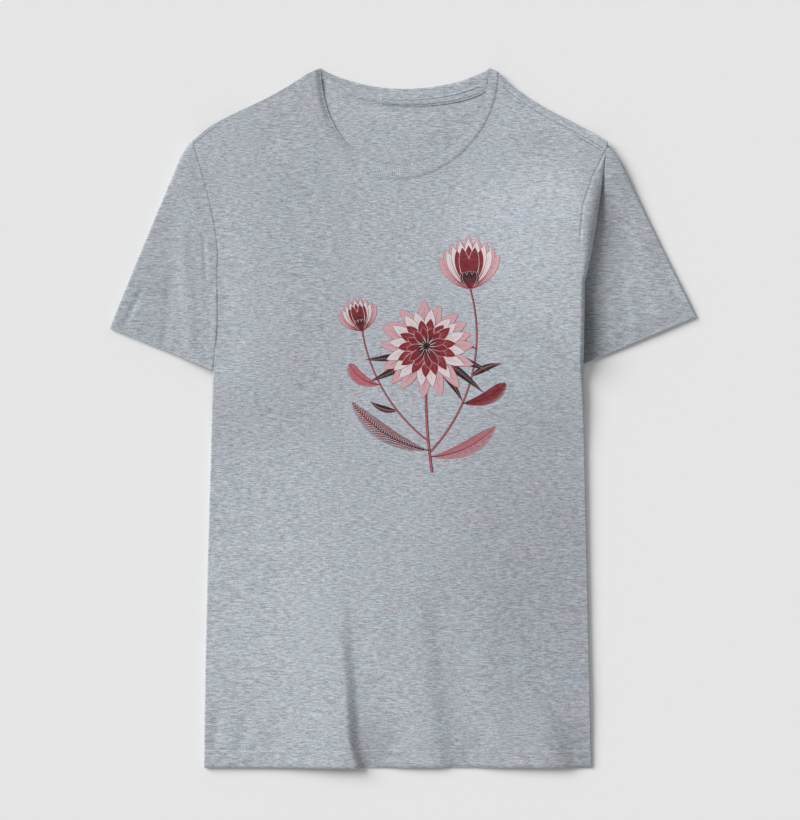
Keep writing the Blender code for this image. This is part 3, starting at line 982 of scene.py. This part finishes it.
class Print:
    """Bands of ink that follow the front's surface, kept by colour."""

    def __init__(self):
        self.parts = {name: ([], []) for name in INKS}

    def band(self, ink, line, half, level, across=1):
        """A band along a line, with its half width given at each share of its length."""
        points, faces = self.parts[ink]
        start = len(points)
        for i, p in enumerate(line):
            left = left_of(line, i)
            wide = max(0.00012, half(i / (len(line) - 1)))
            for share in spread(-1, 1, across):
                q = p + left * share * wide
                points.append((q.x, q.y, front_height(q.x, q.y) + 0.0001 + 0.00002 * level))
        faces += grid_faces(len(line), across + 1, flip=True, start=start)

    def petal(self, inks, root, heading, length, wide, bend, level):
        """A pointed petal: a dark outline, a blade, and lines that fan out from its root."""
        outline, blade, lines = inks
        middle = curve_from(root, heading, length, bend)
        self.band(outline, middle, lambda t: wide * petal_shape(t), level, 4)
        self.band(blade, middle[1:], lambda t: wide * petal_shape(t) - 0.00045, level + 0.4, 4)
        for side in (-2, -1, 0, 1, 2):
            line = [p + left_of(middle[i:i + 2], 0) * wide * petal_shape(i / 24) * side / 3
                    for i, p in enumerate(middle[:-1])]
            last = 21 - 3 * abs(side)
            self.band(lines, line[1:last], lambda t: 0.00036 * (1 - t) + 0.00008, level + 0.8)

    def ring(self, inks, centre, reach, wide, count, turn, level, chance):
        """Petals round a centre, seen a little from one side."""
        for i in range(count):
            heading = turn + 2 * pi * i / count + chance.uniform(-0.05, 0.05)
            short = 1 - 0.16 * (0.5 + 0.5 * sin(heading))
            root = Vector(centre) + towards(heading) * 0.001
            self.petal(inks, root, heading, reach * short * chance.uniform(0.94, 1.04), wide,
                       chance.uniform(-0.3, 0.3), level + i % 3)

    def frond(self, inks, root, heading, length, wide, bend, level):
        """A feathery leaf: thin barbs on both sides of a rib."""
        barbs, rib = inks
        line = curve_from(root, heading, length, bend, 34)
        for i in range(2, 34):
            reach = wide * leaf_shape(i / 35) * 1.25
            for side in (1, -1):
                angle = heading_of(line[i + 1] - line[i - 1]) + side * 0.85
                barb = curve_from(line[i], angle, reach, -side * 0.55, 8)
                self.band(barbs, barb, lambda t: 0.0006 * (1 - t) ** 0.6, level)
        self.band(rib, line, lambda t: 0.0006 * (1 - 0.7 * t), level + 1)

    def blade(self, inks, root, heading, length, wide, bend, level):
        """A long dark leaf with pale hatching."""
        fill, hatching = inks
        line = curve_from(root, heading, length, bend)
        self.band(fill, line, lambda t: wide * leaf_shape(t), level, 4)
        for i in range(3, 22):
            reach = wide * leaf_shape(i / 24) * 0.95
            angle = heading_of(line[i + 1] - line[i - 1]) + 0.5
            barb = curve_from(line[i], angle, reach, 0.2, 4)
            self.band(hatching, barb, lambda t: 0.00016, level + 0.5)
        self.band(hatching, line, lambda t: 0.0003 * (1 - 0.6 * t), level + 0.5)

    def bloom(self, centre, reach, turn, level, chance):
        """A full flower of four rings of petals, palest outside, round a dark heart."""
        rings = ((("rose", "pale_pink", "crimson"), 1.0, 0.125, 17),
                 (("crimson", "white", "rose"), 0.8, 0.112, 16),
                 (("white", "crimson", "rose"), 0.61, 0.098, 15),
                 (("pale_pink", "crimson", "black"), 0.42, 0.075, 13))
        for k, (inks, size, wide, count) in enumerate(rings):
            self.ring(inks, centre, reach * size, reach * wide, count, turn + 0.37 * k,
                      level + 4 * k, chance)
        for i in range(26):
            heading = turn + 2 * pi * (i + chance.uniform(-0.2, 0.2)) / 26
            ray = curve_from(centre, heading, reach * chance.uniform(0.12, 0.21), 0.2, 8)
            self.band("black" if i % 2 else "pale_pink", ray,
                      lambda t: reach * 0.017 * (1 - t) ** 0.7, level + 17 + i % 2)

    def side_bloom(self, root, heading, length, level):
        """A flower seen from the side: three fans of petals in a dark scaly cup."""
        fans = ((("rose", "pale_pink", "crimson"), 1.0, 1.02, 9),
                (("crimson", "white", "rose"), 0.92, 0.72, 7),
                (("white", "crimson", "black"), 0.8, 0.42, 5))
        for k, (inks, size, wide, count) in enumerate(fans):
            for i, turn in enumerate(spread(-wide, wide, count - 1)):
                reach = length * size * (1 - 0.16 * abs(turn))
                self.petal(inks, root, heading + turn, reach, length * 0.105, -turn * 0.55,
                           level + 4 * k + i % 2)
        for i, turn in enumerate(spread(-0.8, 0.8, 6)):
            self.petal(("pale_pink", "black", "crimson"), root, heading + turn, length * 0.34,
                       length * 0.06, -turn * 0.9, level + 13 + i % 2)


def draw_plant(made):
    """A plant: a full bloom, a smaller one seen from the side, a bud, feathery leaves, and
    dark leaves on thin stems."""
    chance = random.Random(7)
    stem = curve_from((0.03, -0.056), radians(99), 0.13, radians(-14), 40)
    branch = curve_from((0.0268, -0.036), radians(46), 0.182, radians(60), 50)
    twig = curve_from((0.0262, -0.024), radians(143), 0.136, radians(-44), 30)
    for line, wide in ((stem, 0.0014), (branch, 0.0011), (twig, 0.001)):
        made.band("crimson", line, lambda t: wide * (1 - 0.35 * t), 1, 2)
        made.band("rose", line, lambda t: wide * 0.45 * (1 - 0.35 * t), 2)
        shadow = [p + left_of(line, i) * (-wide * 0.75) for i, p in enumerate(line)]
        made.band("black", shadow, lambda t: wide * 0.25, 3)
    rose, crimson = ("rose", "crimson"), ("crimson", "black")
    for inks, root, turn, length, wide, bend in (
            (crimson, stem[7], 170, 0.096, 0.013, -44),
            (rose, stem[5], 2, 0.076, 0.012, 46),
            (crimson, branch[17], 2, 0.05, 0.011, 46),
            (rose, twig[17], 176, 0.04, 0.01, -60),
            (rose, branch[33], 160, 0.046, 0.009, -48)):
        made.frond(inks, root, radians(turn), length, wide, radians(bend), 4)
    dark = ("black", "rose")
    for turn, length in ((-12, 0.07), (-30, 0.074), (-48, 0.066), (196, 0.064), (216, 0.068)):
        made.blade(dark, (0.024, 0.07), radians(turn), length, 0.0042, radians(-14), 5)
    made.blade(dark, branch[25], radians(40), 0.034, 0.0034, radians(-34), 5)
    made.blade(dark, twig[10], radians(182), 0.03, 0.0032, radians(-42), 5)
    made.side_bloom(twig[-1], radians(104), 0.036, 7)
    made.side_bloom(branch[-1], radians(92), 0.056, 7)
    made.bloom((0.024, 0.074), 0.054, radians(14), 8, chance)


# Panel and operators.


class ShirtSettings(bpy.types.PropertyGroup):
    cloth_colour: FloatVectorProperty(
        name="Cloth", description="Colour of the heather yarn", subtype="COLOR",
        default=(0.405, 0.43, 0.466), min=0, max=1)
    rib_pitch: FloatProperty(
        name="Rib pitch", description="Distance from rib to rib of the collar",
        default=0.0021, min=0.0015, max=0.005, unit="LENGTH")
    stitch_pitch: FloatProperty(
        name="Stitch pitch", description="Distance from stitch to stitch of a seam",
        default=0.0028, min=0.0015, max=0.006, unit="LENGTH")
    floor_colour: FloatVectorProperty(
        name="Floor", description="Colour of the floor", subtype="COLOR",
        default=(0.8, 0.8, 0.8), min=0, max=1)
    lamp_strength: FloatProperty(
        name="Lamp", description="Strength of the large lamp", default=3.5, min=0, max=20)
    fill_strength: FloatProperty(
        name="Fill", description="Strength of the even light from all round", default=0.41,
        min=0, max=5)


def settings(context):
    return context.scene.tshirt


def surface(make, name, *values):
    """The material of this name, made when it is first asked for."""
    return bpy.data.materials.get(name) or make(name, *values)


def tone(context, shade=1.0):
    return tuple(c * shade for c in settings(context).cloth_colour)


class TSHIRT_OT_front(bpy.types.Operator):
    """Make the front with its turned-under sides, hem and folds"""
    bl_idname = "tshirt.front"
    bl_label = "Front"

    def execute(self, context):
        # The front's cloth carries patches of painted light and shade.
        cloth = surface(jersey, "front_cloth", tone(context), PAINTED_LIGHT_AND_SHADE_FRONT)
        add_cloth("front", front_rows(), JERSEY, cloth,
                  ("front_panel", "front_hem"))
        return {"FINISHED"}


class TSHIRT_OT_back(bpy.types.Operator):
    """Make the back with its turned-under sides"""
    bl_idname = "tshirt.back"
    bl_label = "Back"

    def execute(self, context):
        cloth = surface(jersey, "body_cloth", tone(context))
        add_cloth("back", back_rows(), JERSEY, cloth,
                  ("back_panel", "back_hem"),
                  flip=True)
        return {"FINISHED"}


class TSHIRT_OT_sleeves(bpy.types.Operator):
    """Make both sleeves"""
    bl_idname = "tshirt.sleeves"
    bl_label = "Sleeves"

    def execute(self, context):
        # The sleeves' cloth is the body's yarn darkened to 93%, a shaded copy of it, with a patch
        # of painted shadow beside the body: painted shade.
        cloth = surface(jersey, "sleeve_cloth", tone(context, 0.93), PAINTED_SHADOW_SLEEVES)
        for side in SLEEVES:
            rings = sleeve_rings(SleevePlan(side))
            add_cloth(side + "_sleeve", rings, JERSEY, cloth,
                      ("sleeve_" + side, "sleeve_hem_" + side),
                      flip=side == "left", ring=True)
        return {"FINISHED"}


class TSHIRT_OT_collar(bpy.types.Operator):
    """Make the two halves of the ribbed neck band"""
    bl_idname = "tshirt.collar"
    bl_label = "Collar"

    def execute(self, context):
        rib = surface(jersey, "collar_cloth", tone(context, 0.97))
        pitch = settings(context).rib_pitch
        for half, seam, edge, height, thickness, flat, below in (
                ("front", FRONT_SEAM, FRONT_EDGE, front_collar_height, FRONT_RIB,
                 FRONT_BAND_CUT, "front"),
                ("back", BACK_SEAM, BACK_EDGE, back_collar_height, BACK_RIB,
                 BACK_BAND_CUT, "floor")):
            add_cloth(half + "_band", collar_rows(seam, edge, height, pitch), thickness, rib,
                      ("collar_" + half,))
        return {"FINISHED"}


class TSHIRT_OT_tape(bpy.types.Operator):
    """Make the tape over the back neck seam"""
    bl_idname = "tshirt.tape"
    bl_label = "Neck tape"

    def execute(self, context):
        cloth = surface(jersey, "tape_cloth", tone(context))
        add_cloth("tape", tape_rows(), TAPE, cloth, ("neck_tape",))
        return {"FINISHED"}


class TSHIRT_OT_stitches(bpy.types.Operator):
    """Sew the hem, the shoulders, the armholes and the neck tape"""
    bl_idname = "tshirt.stitches"
    bl_label = "Stitches"

    def execute(self, context):
        chance = random.Random(3)
        pitch = settings(context).stitch_pitch
        # The stitches are real, but how dark their threads are is partly painted shade: the shade
        # of the seams' grooves, darkest in the rows along the shoulders and the tape.
        pale = surface(thread, "thread_80", tone(context, 0.8))
        dark = surface(thread, "thread_40", tone(context, 0.4))
        hem = [[Vector((CENTRE_X + sign * 0.196, BOTTOM + up)) for sign in (-1, 1)]
               for up in (0.0152, HEM_WIDTH)]
        add_stitches("hem_stitches", hem, front_height, pitch, pitch * 0.75, 0.0005, pale,
                     chance)
        shoulders = [[Vector((x, shoulder_y(x) - down)) for x in spread(start, end, 30)]
                     for start, end, down in SHOULDER_STITCHES]
        add_stitches("shoulder_stitches", shoulders, front_height, pitch, pitch * 0.85,
                     0.0007, dark, chance)
        left = [Vector((path_x(ARMHOLE_SEAM, y) - 0.0016, y)) for y in spread(0.186, 0.276, 40)]
        add_stitches("armhole_stitches", [left], front_height, pitch, pitch * 0.75, 0.0006,
                     pale, chance)
        tape = [[tape_point(turn, share).xy for turn in spread(-0.25, 0.9, 60)]
                for share in (0.22, 0.8)]
        add_stitches("tape_stitches", tape, lambda x, y: 0.0034, pitch * 0.7, pitch * 0.5,
                     0.0006, dark, chance)
        return {"FINISHED"}


class TSHIRT_OT_print(bpy.types.Operator):
    """Print the plant on the chest"""
    bl_idname = "tshirt.print"
    bl_label = "Print"

    def execute(self, context):
        plant = Print()
        draw_plant(plant)
        for name, (points, faces) in plant.parts.items():
            own = surface(ink, "ink_" + name, *INKS[name])
            made = thicken(add_mesh("print_" + name, points, faces, own), INK)
            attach(made, "root")
        return {"FINISHED"}


class TSHIRT_OT_stage(bpy.types.Operator):
    """Set up the floor, the lamp and the camera"""
    bl_idname = "tshirt.stage"
    bl_label = "Stage"

    def execute(self, context):
        own = settings(context)
        scene = context.scene
        plain = Nodes("floor").finish(0.9, 0.1, (*own.floor_colour, 1))
        corners = [(x * FLOOR_HALF, y * FLOOR_HALF, 0)
                   for x, y in ((-1, -1), (1, -1), (1, 1), (-1, 1))]
        floor = add_mesh("floor", corners, [(0, 1, 2, 3)], plain)
        lamp = bpy.data.objects.new("lamp", bpy.data.lights.new("lamp", "SUN"))
        lamp.data.energy = own.lamp_strength
        lamp.data.angle = LAMP_WIDTH
        lamp.rotation_euler = LAMP_PLACE.to_track_quat("Z", "Y").to_euler()
        scene.collection.objects.link(lamp)
        scene.world = bpy.data.worlds.new("room")
        scene.world.use_nodes = True
        back = scene.world.node_tree.nodes["Background"]
        back.inputs["Color"].default_value = (1, 1, 1, 1)
        back.inputs["Strength"].default_value = own.fill_strength
        camera = bpy.data.objects.new("camera", bpy.data.cameras.new("camera"))
        camera.data.lens = CAMERA_LENS
        camera.location = CAMERA_PLACE
        scene.collection.objects.link(camera)
        scene.camera = camera
        scene.view_settings.view_transform = "Standard"
        return {"FINISHED"}


STEPS = (TSHIRT_OT_stage, TSHIRT_OT_back, TSHIRT_OT_front, TSHIRT_OT_sleeves,
         TSHIRT_OT_collar, TSHIRT_OT_tape, TSHIRT_OT_stitches, TSHIRT_OT_print)


class TSHIRT_PT_panel(bpy.types.Panel):
    """Settings and steps of the T-shirt"""
    bl_label = "T-shirt"
    bl_idname = "TSHIRT_PT_panel"
    bl_space_type = "VIEW_3D"
    bl_region_type = "UI"
    bl_category = "T-shirt"

    def draw(self, context):
        own = settings(context)
        for name in ShirtSettings.__annotations__:
            self.layout.prop(own, name)
        for step in STEPS:
            self.layout.operator(step.bl_idname)


def register():
    for made in (ShirtSettings, *STEPS, TSHIRT_PT_panel):
        bpy.utils.register_class(made)
    bpy.types.Scene.tshirt = PointerProperty(type=ShirtSettings)


def unregister():
    del bpy.types.Scene.tshirt
    for made in (TSHIRT_PT_panel, *reversed(STEPS), ShirtSettings):
        bpy.utils.unregister_class(made)


def main():
    register()
    for step in STEPS:
        group, name = step.bl_idname.split(".")
        getattr(getattr(bpy.ops, group), name)()


if __name__ == "__main__":
    main()
